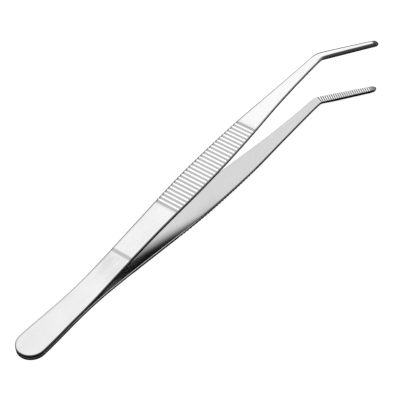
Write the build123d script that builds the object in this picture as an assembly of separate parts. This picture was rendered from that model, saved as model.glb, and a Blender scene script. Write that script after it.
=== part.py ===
from build123d import *
import math
import os

# Bent-tip tweezers, 180 mm long: two stamped spring-steel arms spot-welded at the rear paddle.
# Millimetres. Origin: rear end of the paddle, on the seam between the two arms.
# +X runs to the tips, +Y is across the arms (the tips bend towards -Y), +Z is the way the upper arm opens.
# The arms mirror each other about the seam plane z = 0.

# Side view of an arm's inner face: flat paddle, spring curve, rear run, straight grip, front curve, straight tip
weld_flat_end = 22.2           # the two paddles lie face to face up to here
spring_radius = 124.0          # curve that opens the arm away from the seam
opening_angle = math.degrees(math.atan(0.1165))
run_end = 57.0
shank_radius = 778.0           # slight turn inwards, over the rear of the grip
grip_angle = math.degrees(math.atan(0.0761))
grip_end = 112.0               # straight in the grip's middle, so the tweezers lie on it and don't rock
front_radius = 607.0           # slight turn inwards along the tapered front
tip_angle = math.degrees(math.atan(0.023))
side_end = 190.0               # the side outline runs past the tip and is trimmed by the plan outline

# Sheet thickness along the arm
paddle_sheet = 1.18
grip_sheet = 1.3
front_sheet = 1.2
tip_sheet = 1.65               # the tip is squeezed narrower and thicker
swell_start = 157.0            # the outer face swells between these two places along X
swell_end = 166.0
grip_hollow = 0.05             # how far the outer face is hollow along that straight middle
crease_x = 47.6                # the outer face steps up here, from paddle sheet to grip sheet
crease_run = 2.1

# Plan view: rounded paddle end, waist, wide grip, tapered front, then the bent tip
rear_radius = 5.25
plan_half_widths = [(rear_radius, rear_radius), (22.0, 4.66), (40.0, 4.30), (60.0, 4.47), (87.0, 5.12),
                    (111.0, 4.52), (134.0, 2.93), (147.0, 2.24)]
bend_start = 159.4
bend_half_width = 1.84
bend_radius = 4.8              # of the centreline
bend_angle = 36.2
tip_length = 21.8
tip_end_half_width = 1.36
edge_radius = 0.3              # along the outer face's long edges
tip_bevel = 0.6                # extra bevel on the tip's two outer edges
nose_run = 1.7                 # the tip's end slopes away over this length, on the outer and the inner face
outer_nose_drop = 0.6
inner_nose_drop = 0.4
bevel_cutter = 3.0             # size of the block that cuts it

# Ribbed grip on the outer face
rib_pitch = 1.62
rib_groove_count = 28
rib_first_groove = 72.6
rib_groove_width = 1.1
rib_groove_depth = 0.2

# Cross serrations on the tip's inner face, from the bend to just short of the smooth end
tooth_pitch = 0.8
tooth_count = 24
tooth_depth = 0.15

# The arm bends elastically between the welds and the crease; its stand-in hinge line is here
hinge_x = 36.0
split_gap = 0.06
hinge_drop = 0.05              # how far the hinge line lies inside the inner face
closed_gap = 0.1               # left between the closed tips

# Spot welds between the paddles
weld_places = [7.0, 14.5]
weld_radius = 1.7
weld_depth = 0.7               # into each sheet

reach = 30.0                   # half-size of the extrusions and cutters that cross the whole arm


def along(point, direction, distance):
    """The point a distance further along a direction."""
    return point + direction.normalized() * distance


def line_to(edge, x):
    """Straight on from an edge's end, along its tangent, until x."""
    return Line(edge @ 1, along(edge @ 1, edge % 1, (x - (edge @ 1).X) / (edge % 1).X))


def inner_face_line():
    """Inner face seen from the side: X along the arm, Y for height."""
    flat = Line((-1, 0), (weld_flat_end, 0))
    spring = JernArc(flat @ 1, flat % 1, spring_radius, opening_angle)
    run = line_to(spring, run_end)
    shank = JernArc(run @ 1, run % 1, shank_radius, grip_angle - opening_angle)
    grip = line_to(shank, grip_end)
    front = JernArc(grip @ 1, grip % 1, front_radius, tip_angle - grip_angle)
    return [flat, spring, run, shank, grip, front, line_to(front, side_end)]


def height_on(edges, x):
    """Height of a side-view line at one place along the arm."""
    probe = Line((x, -reach), (x, reach))
    hits = [edge.intersect(probe) for edge in edges]
    return next(hit for hit in hits if hit).vertices()[0].Y


def inner_height(x):
    """Height of the inner face above the seam plane at one place along the arm."""
    return height_on(inner_face_line(), x)


def above(x, sheet):
    """Outer-face point at x, one sheet thickness above the inner face."""
    return Vector(x, inner_height(x) + sheet)


def outer_face_line():
    """Outer face seen from the side, every edge tangent to the next: thin to the crease, then thicker."""
    inner_grip, inner_front = inner_face_line()[4:6]
    flat = Line((-1, paddle_sheet), (weld_flat_end, paddle_sheet))
    spring = JernArc(flat @ 1, flat % 1, spring_radius - paddle_sheet, opening_angle)
    run = line_to(spring, crease_x)
    start, end = inner_grip @ 0 + Vector(0, grip_sheet), inner_grip @ 1 + Vector(0, front_sheet)
    grip = ThreePointArc(start, (start + end) / 2 - Vector(0, grip_hollow), end)
    shank = TangentArc(grip @ 0, above(crease_x + crease_run, grip_sheet), tangent=-(grip % 0))
    crease = Spline([run @ 1, shank @ 1], tangents=[run % 1, -(shank % 1)])
    front = TangentArc(grip @ 1, inner_front @ 1 + Vector(0, front_sheet), tangent=grip % 1)
    neck = line_to(front, swell_start)
    swell = Spline([neck @ 1, above(swell_end, tip_sheet)], tangents=[neck % 1, neck % 1])
    return [flat, spring, run, crease, shank, grip, front, neck, swell, line_to(swell, side_end)]


def side_face():
    """Closed side outline between the inner face and the stepped outer face."""
    inner = inner_face_line()
    outer = outer_face_line()
    return make_face(inner + outer + [Line(inner[0] @ 0, outer[0] @ 0), Line(inner[-1] @ 1, outer[-1] @ 1)])


def tip_way():
    """Direction of the bent tip, in plan."""
    turn = math.radians(bend_angle)
    return Vector(math.cos(turn), -math.sin(turn))


def tip_side():
    """Direction across the bent tip, in plan, on the outside of the bend."""
    turn = math.radians(bend_angle)
    return Vector(math.sin(turn), math.cos(turn))


def tip_root():
    """Centre of the arm where the bend ends and the straight tip starts, in plan."""
    return Vector(bend_start, -bend_radius) + tip_side() * bend_radius


def plan_face():
    """Closed plan outline: both long sides, the rounded rear end and the bent, tapered, rounded tip."""
    tip_end = tip_root() + tip_way() * tip_length
    straight = tip_length - tip_end_half_width
    taper = math.degrees(math.atan((bend_half_width - tip_end_half_width) / straight))
    sides = []
    for side in (1, -1):
        points = [(x, side * half) for x, half in plan_half_widths] + [(bend_start, side * bend_half_width)]
        long_side = Spline(points, tangents=[(1, 0), (1, 0)])
        turn = -(bend_angle + side * taper)
        bend = JernArc(long_side @ 1, long_side % 1, bend_radius + side * bend_half_width, turn)
        sides.append([long_side, bend, Line(bend @ 1, along(bend @ 1, bend % 1, straight))])
    left, right = sides
    nose = Spline([left[2] @ 1, tip_end, right[2] @ 1], tangents=[left[2] % 1, -(right[2] % 1)])
    rear = ThreePointArc(left[0] @ 0, (0, 0), right[0] @ 0)
    return make_face(left + right + [nose, rear])


def rounded_blank():
    """Side outline crossed with plan outline, with the outer face's long edges rounded."""
    across = Plane(origin=(0, reach, 0), x_dir=(1, 0, 0), z_dir=(0, -1, 0))
    blank = extrude(across * side_face(), amount=2 * reach) & extrude(plan_face(), amount=reach)
    outer_faces = [face for face in blank.faces() if face.normal_at().Z > 0.9]
    rim = []
    for edge in blank.edges():
        owners = [face for face in outer_faces if any(edge.is_same(other) for other in face.edges())]
        if len(owners) == 1:
            rim.append(edge)
    return fillet(rim, edge_radius)


def tip_bevels():
    """Two long cutters that bevel the tip's outer edges towards a D-shaped section."""
    start = tip_root()
    end = start + tip_way() * tip_length
    near = start + Vector(0, 0, inner_height(start.X) + tip_sheet)
    far = end + Vector(0, 0, inner_height(end.X) + tip_sheet)
    cutters = []
    for side in (1, -1):
        corner = near + tip_side() * side * bend_half_width
        far_corner = far + tip_side() * side * tip_end_half_width
        outward = tip_side() * side + Vector(0, 0, 1)
        plane = Plane(origin=(corner + far_corner) / 2, x_dir=far_corner - corner, z_dir=outward)
        centre = bevel_cutter / 2 - tip_bevel / math.sqrt(2)
        cutters.append(plane * Pos(0, 0, centre) * Box(tip_length + 1, bevel_cutter * 2, bevel_cutter))
    return cutters


def nose_cuts():
    """Two cutters that slope the tip's outer and inner faces away at its rounded end."""
    end = tip_root() + tip_way() * tip_length
    height = inner_height(end.X)
    cutters = []
    for face, side, drop in ((height + tip_sheet, 1, outer_nose_drop), (height, -1, inner_nose_drop)):
        corner = Vector(end.X, end.Y, face)
        slope = tip_way() * nose_run - Vector(0, 0, side * drop)
        outward = tip_way() * drop + Vector(0, 0, side * nose_run)
        plane = Plane(origin=corner - tip_way() * nose_run, x_dir=slope, z_dir=outward)
        cutters.append(plane * Pos(nose_run, 0, bevel_cutter / 2) * Box(nose_run * 2, bevel_cutter * 2, bevel_cutter))
    return cutters


def grip_grooves():
    """Round-bottomed grooves across the grip; the ribs are what stays between them."""
    radius = rib_groove_width ** 2 / (8 * rib_groove_depth) + rib_groove_depth / 2
    outer = outer_face_line()
    cutters = []
    for index in range(rib_groove_count):
        x = rib_first_groove + index * rib_pitch
        bottom = height_on(outer, x) - rib_groove_depth
        cutters.append(Pos(x, 0, bottom + radius) * Rot(90, 0, 0) * Cylinder(radius, 2 * reach))
    return cutters


def tip_teeth():
    """V grooves across the tip's inner face."""
    side = tooth_depth * math.sqrt(2)
    cutters = []
    for index in range(tooth_count):
        place = tip_root() + tip_way() * tooth_pitch * (index + 0.5)
        corner = Plane(origin=place + Vector(0, 0, inner_height(place.X)), x_dir=tip_way(), z_dir=(0, 0, 1))
        cutters.append(corner * Rot(0, 45, 0) * Box(side, 8, side))
    return cutters


def weld_nuggets():
    """Fused discs inside the seam, reaching equally into both sheets."""
    return [Pos(x, 0, 0) * Cylinder(weld_radius, 2 * weld_depth) for x in weld_places]


def upper_pieces():
    """The upper arm, cut at the hinge line into its welded paddle and its moving front."""
    arm = rounded_blank() - tip_bevels() - nose_cuts() - grip_grooves() - tip_teeth() - weld_nuggets()
    rear_space = Pos(hinge_x - split_gap / 2 - 2 * reach, 0, 0) * Box(4 * reach, 2 * reach, 2 * reach)
    front_space = Pos(hinge_x + split_gap / 2 + 4 * reach, 0, 0) * Box(8 * reach, 4 * reach, 2 * reach)
    return arm & rear_space, arm & front_space


def write(name, shape):
    """Write one node as STEP."""
    export_step(shape, os.path.join("parts", name + ".step"))


def main():
    os.makedirs("parts", exist_ok=True)
    paddle, front = upper_pieces()
    write("upper_paddle", paddle)
    write("upper_arm", front)
    write("lower_paddle", mirror(paddle, about=Plane.XY))
    write("lower_arm", mirror(front, about=Plane.XY))
    write("spot_welds", Compound(children=weld_nuggets()))
    hinge_z = inner_height(hinge_x) - hinge_drop
    tip_end = tip_root() + tip_way() * tip_length
    lever = tip_end.X - hinge_x
    drop = inner_height(tip_end.X) - hinge_z
    closing = math.degrees(math.asin((inner_height(tip_end.X) - closed_gap / 2) / math.hypot(lever, drop)))
    print("hinge line x, z:", hinge_x, round(hinge_z, 4))
    print("tip end:", tuple(round(value, 3) for value in tip_end), "inner height", round(inner_height(tip_end.X), 3))
    print("closing angle, about:", round(closing, 3))


main()
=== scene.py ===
import math

import bmesh
import bpy
import numpy as np
from mathutils import Matrix, Vector


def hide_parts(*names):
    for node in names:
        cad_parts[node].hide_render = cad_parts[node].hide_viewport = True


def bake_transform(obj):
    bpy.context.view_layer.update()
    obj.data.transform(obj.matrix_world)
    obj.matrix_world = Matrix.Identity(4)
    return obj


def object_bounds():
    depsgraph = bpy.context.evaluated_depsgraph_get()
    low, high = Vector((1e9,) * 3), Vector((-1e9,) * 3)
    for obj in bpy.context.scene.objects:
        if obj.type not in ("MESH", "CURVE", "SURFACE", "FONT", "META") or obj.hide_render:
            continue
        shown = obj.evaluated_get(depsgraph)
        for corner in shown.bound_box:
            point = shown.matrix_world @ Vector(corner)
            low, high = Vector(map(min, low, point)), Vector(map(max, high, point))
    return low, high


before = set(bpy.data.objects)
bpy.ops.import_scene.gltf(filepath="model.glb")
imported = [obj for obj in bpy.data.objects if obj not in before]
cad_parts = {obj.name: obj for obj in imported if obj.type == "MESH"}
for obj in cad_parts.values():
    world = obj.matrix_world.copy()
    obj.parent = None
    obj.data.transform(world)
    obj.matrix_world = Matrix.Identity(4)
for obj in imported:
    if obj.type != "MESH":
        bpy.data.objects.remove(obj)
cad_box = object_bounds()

# Lengths are in millimetres up to the mesh builder, which turns them into metres.
MM = 0.001

# Side view of an arm's inner face: its slope holds or changes steadily between these places along X
WELD_FLAT_END, SPRING_END = 22.2, 36.6
RUN_END, GRIP_START = 57.0, 88.0
GRIP_END, FRONT_END = 112.0, 144.1
OPENING_SLOPE, GRIP_SLOPE, TIP_SLOPE = 0.1165, 0.0761, 0.023

# Sheet thickness
PADDLE_SHEET, GRIP_SHEET, FRONT_SHEET = 1.18, 1.3, 1.2
CREASE_START, CREASE_END = 47.6, 49.7

# Plan view
REAR_RADIUS = 5.25
BEND_START, BEND_RADIUS, BEND_TURN = 159.4, 4.8, math.radians(36.2)
BEND_END = BEND_START + BEND_RADIUS * BEND_TURN
HALF_WIDTHS = [(REAR_RADIUS, REAR_RADIUS), (22.0, 4.66), (40.0, 4.30), (60.0, 4.47), (87.0, 5.12),
               (111.0, 4.52), (134.0, 2.93), (147.0, 2.24), (BEND_START, 1.84)]
TIP_LENGTH, TIP_END_HALF_WIDTH = 21.8, 1.32
ARM_END = BEND_END + TIP_LENGTH
NOSE = ARM_END - TIP_END_HALF_WIDTH

# The tip is squeezed narrower and thicker, and its faces fall away towards its rounded end
TIP_EXTRA, TIP_EXTRA_START, TIP_EXTRA_END = 0.41, 157.0, 166.0
INNER_RELIEF_START, INNER_RELIEF = ARM_END - 2.6, 0.28
OUTER_RELIEF_START, OUTER_RELIEF = ARM_END - 3.0, 0.55

# Grip ribs
RIB_PITCH, RIB_COUNT = 1.62, 28
FIRST_GROOVE, GROOVE_WIDTH, GROOVE_DEPTH = 72.6, 1.02, 0.2
RIBS_START = FIRST_GROOVE - RIB_PITCH / 2
RIBS_END = RIBS_START + RIB_COUNT * RIB_PITCH

# Tip teeth
TOOTH_PITCH, TOOTH_COUNT = 0.832, 25
TOOTH_DEPTH, TOOTH_GROOVE_SHARE = 0.12, 0.65
TEETH_START = BEND_END - 1.6
TEETH_END = TEETH_START + TOOTH_COUNT * TOOTH_PITCH

# Long edges: their radii, and how many rings each rounding has
SHANK_EDGE, TIP_EDGE, INNER_EDGE = 0.36, 0.86, 0.26
OUTER_RINGS, INNER_RINGS = 5, 3
FACE_SHARES = [0.11, 0.33, 0.55, 0.77, 0.93, 0.965, 1.0]    # columns across half a face; 1 is its border

# Stretches along X over which a painted shade or painted highlight on the steel comes in or fades
EDGE_SHADE_REAR, BORDER_SHADE, SIDE_SHADE = (8, 45), (20, 70), (60, 110)
INNER_FRONT, DARK_WALLS = (72, 88), (40, 100)
SHADED_REAR_STRETCH, LIT_FRONT_STRETCH = (0, 50), (113, 122)
SPRING_PATCHES, SPRING_FADE = (32, 46), (46.5, CREASE_START + 0.6)
# The gap's shade is painted shade on the inner face, where the other arm's dark underside is mirrored
GAP_SHADE, GAP_FADE, GAP_SLANT = (46, 58), (50, 74), 16      # the fade runs slanting across the face

# The same near the tip's rounded end, as places along the arm's centre line
NOSE_SHADE, NOSE_FADE = (ARM_END - 2.8, ARM_END - 1.8), (ARM_END - 0.9, ARM_END - 0.4)
BARE_END = (ARM_END - 2.9, ARM_END - 2.3)
# Each end of the ribs gets a thin line of painted shade
RIB_END_LINE = 0.3             # inset and half width of the line at each end of the ribs


def smooth_curve(points):
    """A smooth function through the points, level at the first and the last."""
    x, y = np.array(points, float).T
    step = np.diff(y) / np.diff(x)
    slope = np.concatenate([[0.0], (step[1:] + step[:-1]) / 2, [0.0]])

    def value(at):
        i = np.clip(np.searchsorted(x, at) - 1, 0, len(x) - 2)
        width = x[i + 1] - x[i]
        t = np.clip((at - x[i]) / width, 0, 1)
        rise = t * t * (3 - 2 * t)
        lean = (1 - t) * slope[i] - t * slope[i + 1]
        return y[i] + (y[i + 1] - y[i]) * rise + width * t * (1 - t) * lean
    return value


shank_half_width = smooth_curve(HALF_WIDTHS)


def half_width(s):
    """Half the arm's width at each place along it; the bent tip tapers straight."""
    taper = np.clip((s - BEND_START) / (NOSE - BEND_START), 0, 1)
    at_bend = HALF_WIDTHS[-1][1]
    tip = at_bend + (TIP_END_HALF_WIDTH - at_bend) * taper
    return np.where(s < BEND_START, shank_half_width(s), tip)


def step_up(x, start, end):
    """0 before start, 1 after end, smooth between."""
    t = np.clip((x - start) / (end - start), 0, 1)
    return t * t * (3 - 2 * t)


def inner_height(x):
    """Height of the inner face above the seam, from its slopes."""
    profile = [(-10.0, 0.0), (WELD_FLAT_END, 0.0), (SPRING_END, OPENING_SLOPE), (RUN_END, OPENING_SLOPE),
               (GRIP_START, GRIP_SLOPE), (GRIP_END, GRIP_SLOPE), (FRONT_END, TIP_SLOPE), (200.0, TIP_SLOPE)]
    places, slopes = np.array(profile).T
    rises = np.diff(places) * (slopes[1:] + slopes[:-1]) / 2
    starts = np.concatenate([[0.0], np.cumsum(rises)])
    i = np.clip(np.searchsorted(places, x) - 1, 0, len(places) - 2)
    run = x - places[i]
    bend = (slopes[i + 1] - slopes[i]) / (places[i + 1] - places[i])
    return starts[i] + run * slopes[i] + bend * run * run / 2


def sheet(x):
    """Thickness of the arm: thin to the crease, thicker on the grip, less in front and most on the tip."""
    over_grip = np.clip((x - GRIP_START) / (GRIP_END - GRIP_START), 0, 1)
    return (PADDLE_SHEET + (GRIP_SHEET - PADDLE_SHEET) * step_up(x, CREASE_START, CREASE_END)
            + (FRONT_SHEET - GRIP_SHEET) * over_grip + TIP_EXTRA * step_up(x, TIP_EXTRA_START, TIP_EXTRA_END))


def outer_edge(s):
    """Radius of the outer face's long edges: small on the shank, large on the tip, which is D-shaped."""
    return SHANK_EDGE + (TIP_EDGE - SHANK_EDGE) * step_up(s, BEND_START - 2.0, BEND_END + 1.0)


def on_tip(s):
    """0 on the shank, 1 on the bent tip."""
    return step_up(s, BEND_START - 1.0, BEND_END + 1.0)


def groove(s):
    """How deep the grip's grooves are at each place, 0 to 1."""
    phase = (s - RIBS_START) % RIB_PITCH - RIB_PITCH / 2
    share = np.clip(np.abs(phase) / (GROOVE_WIDTH / 2), 0, 1)
    return np.where((s > RIBS_START) & (s < RIBS_END), 1 - share ** 2, 0)


def tooth(s, shift):
    """How deep the tip's serrations are at each place, 0 to 1. shift moves them by a share of the pitch."""
    along = (s - TEETH_START) / TOOTH_PITCH - shift
    inside = (along > 0) & (along < TOOTH_COUNT - shift)
    return np.where(inside, np.clip(1 - np.abs(2 * (along % 1) - 1) / TOOTH_GROOVE_SHARE, 0, 1), 0)


def end_relief(ahead, start, depth):
    """How far a face falls away towards the tip's rounded end."""
    return depth * np.clip((ahead - start) / (ARM_END - start), 0, 1) ** 2


def stations():
    """Places along the arm, closest together on the ribs and teeth, each with its section's angle.

    The angle is a quarter turn on the arm and swings round at both ends, where the sections fan out.
    """
    quarter = np.linspace(0, math.pi / 2, 17)[:-1]
    stretches = [(REAR_RADIUS, WELD_FLAT_END, 22), (WELD_FLAT_END, CREASE_START, 50),
                 (CREASE_START, CREASE_END, 12), (CREASE_END, RIBS_START, 28),
                 (RIBS_START, RIBS_END, RIB_COUNT * 12), (RIBS_END, BEND_START - 2, 48),
                 (BEND_START - 2, TEETH_START, 17), (TEETH_START, TEETH_END, TOOTH_COUNT * 8),
                 (TEETH_END, NOSE, 6)]
    rear = [(REAR_RADIUS, math.pi - angle) for angle in quarter]
    middle = [(s, math.pi / 2) for a, b, n in stretches for s in np.linspace(a, b, n, endpoint=False)]
    front = [(NOSE, math.pi / 2 - angle) for angle in np.append(quarter, math.pi / 2)]
    return np.array(rear + middle + front)


def on_centre_line(s):
    """Point and heading angle of the arm's centre line in plan."""
    turned = np.clip((s - BEND_START) / BEND_RADIUS, 0, BEND_TURN)
    before, after = np.minimum(s, BEND_START), np.maximum(s - BEND_END, 0)
    x = before + BEND_RADIUS * np.sin(turned) + after * np.cos(turned)
    y = -BEND_RADIUS * (1 - np.cos(turned)) - after * np.sin(turned)
    return x, y, -turned


def section_columns(s):
    """The loop around the arm, one column for each point.

    Each column has: the share across, the inset from the outline, the face it belongs to (1 outer, -1 inner),
    the drop from that face towards the other, and how far it lies on a rounded edge, which carries painted
    dark reflection and painted highlight, and on a side wall.
    """
    outer_radius = outer_edge(s)
    across_face = [-share for share in reversed(FACE_SHARES)] + FACE_SHARES
    outer_turn = np.linspace(math.pi / 2, 0, OUTER_RINGS + 1)[1:]
    inner_turn = np.linspace(math.pi / 2, 0, INNER_RINGS + 1)[1:]
    columns = []

    def rounded(side, face, radius, angles):
        for angle in angles:
            inset, drop = radius * (1 - math.cos(angle)), radius * (1 - math.sin(angle))
            edge, wall = math.sin(2 * angle), math.cos(angle) ** 4
            columns.append((side, inset, face, drop, edge, wall))

    def border(share):
        """How much painted dark reflection the outer face takes along its border, which is wider on the tip.
        """
        narrow, wide = 0.75 * step_up(abs(share), 0.92, 0.97), 0.7 * on_tip(s) * (abs(share) > 0.9)
        return np.clip(narrow + wide, 0, 1)

    columns += [(share, outer_radius, 1, 0, border(share), 0) for share in across_face]
    rounded(1, 1, outer_radius, outer_turn)
    rounded(1, -1, INNER_EDGE, inner_turn[::-1])
    columns += [(share, INNER_EDGE, -1, 0, 0, 0) for share in reversed(across_face)]
    rounded(-1, -1, INNER_EDGE, inner_turn)
    rounded(-1, 1, outer_radius, outer_turn[::-1])
    return [np.concatenate([np.zeros_like(s) + part for part in parts], axis=1) for parts in zip(*columns)]


def painted_edge_shading(s, x, across, face, drop, edge):
    """Where the long edges are darkened by painted dark reflection, and where the inner face's rim gets a
    painted highlight behind the grip.

    The side away from the tip's bend is painted dark up to the face's border, the other side only on its
    rounding.
    """
    tip, rear, front = on_tip(s), 1 - step_up(x, *EDGE_SHADE_REAR), step_up(x, *INNER_FRONT)
    away_side = across > 0.5
    bend_side_share = np.maximum(0.95 - 0.4 * step_up(x, *SIDE_SHADE), 0.95 * tip) * (drop > 0)
    away_side_share = 1 - 0.45 * (1 - step_up(x, *BORDER_SHADE))
    broad = np.where(away_side, tip, np.maximum(tip, rear))
    outer = np.where(away_side, away_side_share, bend_side_share) * np.clip((1 + 1.5 * broad) * edge, 0, 1)
    inner = 0.8 * np.maximum(front, rear) * edge
    painted_highlight_rim = edge * (face < 0) * (1 - front) * (1 - rear)
    return np.where(face > 0, outer, inner), painted_highlight_rim


def steel_masks(s, ahead, x, across, face, drop, edge, wall, dent):
    """Where each shade of the steel lies, from 0 to 1 at every point; most are painted shade, painted
    reflection or painted highlight.
    """
    outer, inner = (face > 0) * (1 - wall), (face < 0) * (1 - wall)
    edges, rim = painted_edge_shading(s, x, across, face, drop, edge)
    crease = 4 * step_up(x, CREASE_START, CREASE_END) * (1 - step_up(x, CREASE_START, CREASE_END))
    spring = step_up(x, *SPRING_PATCHES) * (1 - step_up(x, *SPRING_FADE))
    line_places = (RIBS_START + RIB_END_LINE, RIBS_END - RIB_END_LINE)
    rib_ends = [np.exp(-((s - place) / RIB_END_LINE) ** 2) for place in line_places]
    gap = step_up(x, *GAP_SHADE) * (1 - step_up(x + GAP_SLANT * across, *GAP_FADE))
    nose = step_up(ahead, *NOSE_SHADE) * (1 - step_up(ahead, *NOSE_FADE))
    return {
        "inner": (face < 0) * 1.0,
        "wall": wall,
        "dark_wall": np.maximum(1 - step_up(x, *DARK_WALLS), on_tip(s)),
        "edge": edges,
        "rim": rim,
        "shaded_rear": 1 - step_up(x, *SHADED_REAR_STRETCH),
        "lit_front": step_up(x, *LIT_FRONT_STRETCH),
        "spring": spring * outer,
        "crease": np.clip(1.6 * crease, 0, 1) * outer,
        "dent": dent ** 1.5 * outer,
        "groove_line": dent ** 5 * outer,
        "crest": (s > RIBS_START) * (s < RIBS_END) * (1 - np.clip(2 * dent, 0, 1)) * outer,
        "rib_end": sum(rib_ends) * outer,
        "nose": nose * (face > 0),
        "gap": gap * inner,
        "teeth": step_up(s, TEETH_START, TEETH_START + 1) * (s < TEETH_END) * inner,
        "tooth_cut": np.clip(2.4 * dent, 0, 1) * inner,
        "bare_end": step_up(ahead, *BARE_END) * inner,
    }


def arm_mesh(name, side, tooth_shift):
    """One arm as a closed mesh: side 1 is the upper arm, -1 the lower one."""
    place = stations()
    s, angle = place[:, 0:1], place[:, 1:2]
    across, inset, face, drop, edge, wall = section_columns(s)
    reach = half_width(s) - inset
    forward, sideways = reach * np.cos(angle), reach * np.sin(angle) * across
    x0, y0, heading = on_centre_line(s)
    x = x0 + forward * np.cos(heading) - sideways * np.sin(heading)
    y = y0 + forward * np.sin(heading) + sideways * np.cos(heading)
    dent = np.where(face > 0, groove(s), tooth(s, tooth_shift))
    ahead = s + forward
    inner = inner_height(x) + TOOTH_DEPTH * dent + end_relief(ahead, INNER_RELIEF_START, INNER_RELIEF)
    outer = inner_height(x) + sheet(x) - GROOVE_DEPTH * dent
    outer = outer - end_relief(ahead, OUTER_RELIEF_START, OUTER_RELIEF)
    z = np.where(face > 0, outer - drop, inner + drop)
    points = np.stack([x, y, z * side], axis=-1) * MM
    flat_place = np.stack([ahead, sideways, z], axis=-1) * MM
    masks = steel_masks(s, ahead, x, across, face, drop, edge, wall, dent)
    rows, columns = points.shape[:2]
    index = np.arange(rows * columns).reshape(rows, columns)
    here, there = index[:-1], index[1:]
    corners = [here, np.roll(here, -1, axis=1), np.roll(there, -1, axis=1), there]
    quads = np.stack(corners, axis=-1).reshape(-1, 4)
    return weld_mesh(name, points, quads[:, ::-side], flat_place, masks)


SAME_PLACE = 2e-7              # metres; points this close together become one
SHARP_ANGLE = math.radians(28)


def weld_mesh(name, points, quads, flat_place, masks):
    """Mesh object with its masks as attributes, and with coincident points at the two ends joined."""
    mesh = bpy.data.meshes.new(name)
    mesh.from_pydata(points.reshape(-1, 3).tolist(), [], quads.tolist())
    layer = mesh.attributes.new("flat_place", "FLOAT_VECTOR", "POINT")
    layer.data.foreach_set("vector", flat_place.ravel())
    for mask, values in masks.items():
        at_points = (values + 0 * points[..., 0]).ravel()
        mesh.attributes.new(mask, "FLOAT", "POINT").data.foreach_set("value", at_points)
    work = bmesh.new()
    work.from_mesh(mesh)
    bmesh.ops.remove_doubles(work, verts=work.verts, dist=SAME_PLACE)
    bmesh.ops.recalc_face_normals(work, faces=work.faces)
    work.to_mesh(mesh)
    work.free()
    mesh.shade_smooth()
    mesh.set_sharp_from_angle(angle=SHARP_ANGLE)
    piece = bpy.data.objects.new(name, mesh)
    bpy.context.scene.collection.objects.link(piece)
    return piece


class Shading:
    """A material's or world's node tree, with short ways to add what the materials here need."""

    def __init__(self, owner):
        owner.use_nodes = True
        self.nodes, self.links = owner.node_tree.nodes, owner.node_tree.links

    def add(self, kind, inputs=(), **settings):
        """A node with its settings; inputs maps sockets to a value or to another node's output."""
        node = self.nodes.new("ShaderNode" + kind)
        for key, value in settings.items():
            setattr(node, key, value)
        for socket, value in dict(inputs).items():
            self.put(node.inputs[socket], value)
        return node

    def put(self, socket, value):
        """Link the socket to another node's output, or set its value."""
        if isinstance(value, bpy.types.NodeSocket):
            self.links.new(value, socket)
        else:
            socket.default_value = value

    def mask(self, name):
        return self.add("Attribute", attribute_name=name).outputs["Fac"]

    def noise(self, scale, detail=3.0, roughness=0.6):
        """Noise over the arm laid out flat; scale is in repeats per metre along, across and through it."""
        where = self.add("Attribute", attribute_name="flat_place").outputs["Vector"]
        spread = self.add("VectorMath", {0: where, 1: scale}, operation="MULTIPLY").outputs[0]
        inputs = {"Vector": spread, "Scale": 1.0, "Detail": detail, "Roughness": roughness}
        return self.add("TexNoise", inputs).outputs["Fac"]

    def remap(self, value, low, high, to_low, to_high, **settings):
        inputs = {"Value": value, "From Min": low, "From Max": high, "To Min": to_low, "To Max": to_high}
        return self.add("MapRange", inputs, **settings).outputs[0]

    def stretch(self, noise, low=0.0, high=1.0):
        """The noise's middle range spread over low to high."""
        return self.remap(noise, 0.3, 0.7, low, high)

    def math(self, operation, a, b):
        return self.add("Math", {0: a, 1: b}, operation=operation).outputs[0]

    def mix(self, factor, a, b):
        """Colour a where factor is 0, b where it is 1."""
        node = self.add("Mix", data_type="RGBA")
        self.put(node.inputs["Factor"], factor)
        self.put(node.inputs["A"], a)
        self.put(node.inputs["B"], b)
        return node.outputs["Result"]

    def over(self, colour, mask, share, shade):
        """The colour with that share of a shade laid over it where the mask is 1."""
        return self.mix(self.math("MULTIPLY", self.mask(mask), share), colour, shade)


def grey(value, warmth=0.0):
    """A neutral steel grey, or a warmer one with warmth above 0."""
    return (value * (1.006 + warmth), value, value * (1.003 - warmth), 1)


# Painted shades and highlights laid over the faces one after another: mask, share, grey.
# The tooth tops get painted light and the rib crests painted highlight; the tooth cuts, the bare end, the
# grooves, their lines, the rib ends and the crease get painted shade
FACE_SHADES = [("teeth", 0.95, 0.97), ("tooth_cut", 0.97, 0.03), ("bare_end", 0.6, 0.15), ("dent", 0.06, 0.26),
               ("crest", 0.8, 0.88), ("groove_line", 0.5, 0.15), ("rib_end", 0.5, 0.14), ("crease", 0.6, 0.27)]


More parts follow.
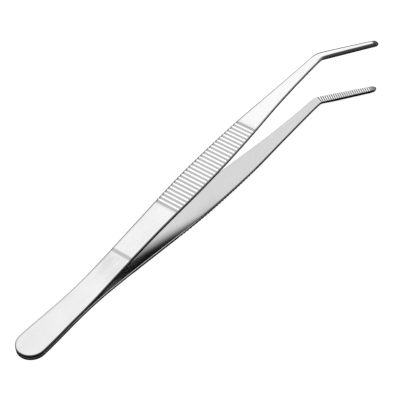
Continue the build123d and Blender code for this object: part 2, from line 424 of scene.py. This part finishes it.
def arm_steel(name):
    """Stainless steel with a satin polish: bright outer face, darker and rougher inner face, side walls dark
    from their sheared tone and painted dark reflection, painted dark reflection along the long edges.
    """
    material = bpy.data.materials.new(name)
    tree = Shading(material)
    shader = tree.nodes["Principled BSDF"]
    shader.inputs["Metallic"].default_value = 1
    clouds = tree.noise((90, 160, 160), 4)
    streaks = tree.noise((60, 2600, 2600), 5)
    hairs = tree.noise((350, 14000, 14000), 2)
    shear = tree.noise((9000, 300, 300), 3)
    outer = tree.mix(tree.stretch(clouds), grey(0.60), grey(0.66))
    outer = tree.mix(tree.remap(streaks, 0.35, 0.75, 0, 0.35), outer, grey(0.56))
    # Painted shade darkens the outer face towards the rear, and painted light brightens it at the front
    outer = tree.over(outer, "shaded_rear", 0.2, grey(0.40))
    outer = tree.over(outer, "lit_front", 0.3, grey(0.75))
    inner = tree.mix(tree.stretch(streaks), grey(0.45), grey(0.51))
    # Painted shade between the arms, where the other arm's dark underside is mirrored
    inner = tree.over(inner, "gap", 0.95, grey(0.10))
    # Side walls: the sheared steel's own darker tone plus painted dark reflection, painted nearly black at the
    # rear and on the tip
    walls = tree.mix(tree.stretch(shear), grey(0.20), grey(0.38))
    walls = tree.over(walls, "dark_wall", 0.9, grey(0.04))
    colour = tree.mix(tree.mask("inner"), outer, inner)
    for mask, share, value in FACE_SHADES:
        colour = tree.over(colour, mask, share, grey(value))
    # Painted wavy shade in patches behind the crease
    painted_shade_patches = tree.stretch(tree.noise((120, 500, 500), 3), 0.1, 0.6)
    colour = tree.over(colour, "spring", painted_shade_patches, grey(0.42, 0.01))
    # Painted dark reflection on top near the tip's rounded end
    colour = tree.over(colour, "nose", 0.9, grey(0.07))
    colour = tree.mix(tree.mask("wall"), colour, walls)
    # Painted dark reflection along the long edges and the outer face's border
    colour = tree.mix(tree.mask("edge"), colour, grey(0.07))
    # Painted highlight along the inner face's rim
    colour = tree.mix(tree.mask("rim"), colour, grey(0.66))
    tree.put(shader.inputs["Base Color"], colour)
    rough = tree.math("ADD", tree.stretch(streaks, 0.11, 0.17), tree.stretch(clouds, -0.02, 0.03))
    rough = tree.math("ADD", rough, tree.math("MULTIPLY", tree.mask("inner"), 0.03))
    rough = tree.math("ADD", rough, tree.math("MULTIPLY", tree.mask("wall"), 0.08))
    tree.put(shader.inputs["Roughness"], rough)
    fine = tree.math("ADD", tree.math("MULTIPLY", hairs, 0.6), tree.math("MULTIPLY", streaks, 0.4))
    cut = tree.math("MULTIPLY", shear, tree.mask("wall"))
    relief = tree.math("ADD", tree.math("MULTIPLY", fine, 0.5), cut)
    bump = tree.add("Bump", {"Height": relief, "Strength": 0.10, "Distance": 0.00003})
    tree.put(shader.inputs["Normal"], bump.outputs[0])
    return material


def weld_steel(name):
    """Fused steel of the weld nuggets: coarse, dull, with a faint straw heat tint."""
    material = bpy.data.materials.new(name)
    tree = Shading(material)
    shader = tree.nodes["Principled BSDF"]
    shader.inputs["Metallic"].default_value = 1
    where = tree.add("TexCoord").outputs["Object"]
    grain = tree.add("TexNoise", {"Vector": where, "Scale": 2500.0, "Detail": 4.0}).outputs["Fac"]
    tree.put(shader.inputs["Base Color"], tree.mix(tree.stretch(grain), grey(0.35), grey(0.5, 0.08)))
    tree.put(shader.inputs["Roughness"], tree.stretch(grain, 0.45, 0.65))
    bump = tree.add("Bump", {"Height": grain, "Strength": 0.4, "Distance": 0.0001})
    tree.put(shader.inputs["Normal"], bump.outputs[0])
    return material


def build_arms():
    """Both arms, each replacing its two CAD nodes with one strip from the welded paddle to its front."""
    for name, side, tooth_shift in (("upper_arm", 1, 0.0), ("lower_arm", -1, 0.5)):
        piece = arm_mesh(name + "_strip", side, tooth_shift)
        piece.data.materials.append(arm_steel(name + "_steel"))
        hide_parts(name, name.replace("arm", "paddle"))
        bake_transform(piece)


build_arms()
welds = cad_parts["spot_welds"]
welds.data.materials.clear()
welds.data.materials.append(weld_steel("weld_steel"))


def place_camera():
    """Long lens, looking down and along the arms from behind and beside the paddle."""
    data = bpy.data.cameras.new("camera")
    data.lens, data.sensor_width = 124.17, 36
    camera = bpy.data.objects.new("camera", data)
    bpy.context.scene.collection.objects.link(camera)
    right, up = Vector((0.6182, -0.78426, -0.05274)), Vector((0.57905, 0.40902, 0.70527))    # of the picture
    back = right.cross(up)
    middle, aside, above, distance = Vector((79.7, 0, 0)), 6.374, 2.153, 469.94
    spot = middle + right * aside + up * above + back * distance
    camera.matrix_world = Matrix.Translation(spot * MM) @ Matrix((right, up, back)).transposed().to_4x4()
    bpy.context.scene.camera = camera


place_camera()


# The floor: its gap below the object and half its size in metres, then its colour and glow for the camera
FLOOR_GAP, FLOOR_HALF = 0.0002, 3
PAPER_GREY, PAPER_GLOW = 0.25, 0.93
# What the steel sees of it: the glow close by, and on each side two places along Y and the glow added at each
MIRRORED_GLOW, NEAR_SIDE, FAR_SIDE = 0.03, (-0.022, -0.060, 0.0, 0.40), (0.030, 0.065, 0.0, 0.35)


def studio_floor():
    """White paper under the object, which the steel sees as dark close by and paler further out."""
    height, half = cad_box[0][2] - FLOOR_GAP, FLOOR_HALF
    mesh = bpy.data.meshes.new("floor")
    corners = [(-half, -half, height), (half, -half, height), (half, half, height), (-half, half, height)]
    mesh.from_pydata(corners, [], [(0, 1, 2, 3)])
    floor = bpy.data.objects.new("floor", mesh)
    bpy.context.scene.collection.objects.link(floor)
    material = bpy.data.materials.new("floor_paper")
    tree = Shading(material)
    tree.nodes.remove(tree.nodes["Principled BSDF"])
    paper = tree.add("BsdfDiffuse", {"Color": (PAPER_GREY, PAPER_GREY, PAPER_GREY, 1)})
    glow = tree.add("Emission", {"Strength": PAPER_GLOW})
    seen = tree.add("AddShader", {0: paper.outputs[0], 1: glow.outputs[0]})
    where = tree.add("SeparateXYZ", {0: tree.add("NewGeometry").outputs["Position"]})
    near_side = tree.remap(where.outputs["Y"], *NEAR_SIDE)
    far_side = tree.remap(where.outputs["Y"], *FAR_SIDE)
    strength = tree.math("ADD", tree.math("ADD", near_side, far_side), MIRRORED_GLOW)
    mirrored = tree.add("Emission", {"Strength": strength})
    camera_ray = tree.add("LightPath").outputs["Is Camera Ray"]
    both = tree.add("MixShader", {0: camera_ray, 1: mirrored.outputs[0], 2: seen.outputs[0]})
    tree.put(tree.nodes["Material Output"].inputs[0], both.outputs[0])
    mesh.materials.append(material)


# Soft lights of the studio: direction, cosines of the angles where it fades out and is full, brightness
LIGHTS = [((0.46, 0.50, 0.73), 0.885, 0.955, 1.44), ((-0.40, 0.45, 0.80), 0.70, 0.95, 0.85),
          ((-0.85, 0.10, 0.45), 0.75, 0.95, 0.60), ((0.50, -0.86, 0.10), 0.965, 0.992, 2.20),
          ((0.90, 0.38, 0.15), 0.88, 0.96, 0.55), ((-0.60, -0.75, 0.20), 0.93, 0.985, 0.35),
          ((0.53, -0.71, 0.47), 0.93, 0.98, 1.20), ((0.00, 0.15, 0.99), 0.70, 0.95, 0.95)]
SKY_GLOW = 0.62


def studio_light():
    """Soft boxes all round, the first of which the camera sees mirrored in the faces, in a pale room."""
    world = bpy.data.worlds.new("studio")
    bpy.context.scene.world = world
    tree = Shading(world)
    way = tree.add("TexCoord").outputs["Generated"]
    total = tree.remap(tree.add("SeparateXYZ", {0: way}).outputs["Z"], 0.0, 0.35, 0.03, SKY_GLOW)
    for direction, fade, full, brightness in LIGHTS:
        aim = tuple(Vector(direction).normalized())
        facing = tree.add("VectorMath", {0: way, 1: aim}, operation="DOT_PRODUCT").outputs["Value"]
        lobe = tree.remap(facing, fade, full, 0.0, brightness, interpolation_type="SMOOTHSTEP")
        total = tree.math("MAXIMUM", total, lobe)
    shown = tree.math("MAXIMUM", total, tree.add("LightPath").outputs["Is Camera Ray"])
    sky = tree.nodes["Background"]
    tree.put(sky.inputs["Strength"], shown)
    sky.inputs["Color"].default_value = (1, 1, 1, 1)


studio_floor()
studio_light()
bpy.context.scene.view_settings.view_transform = "Standard"
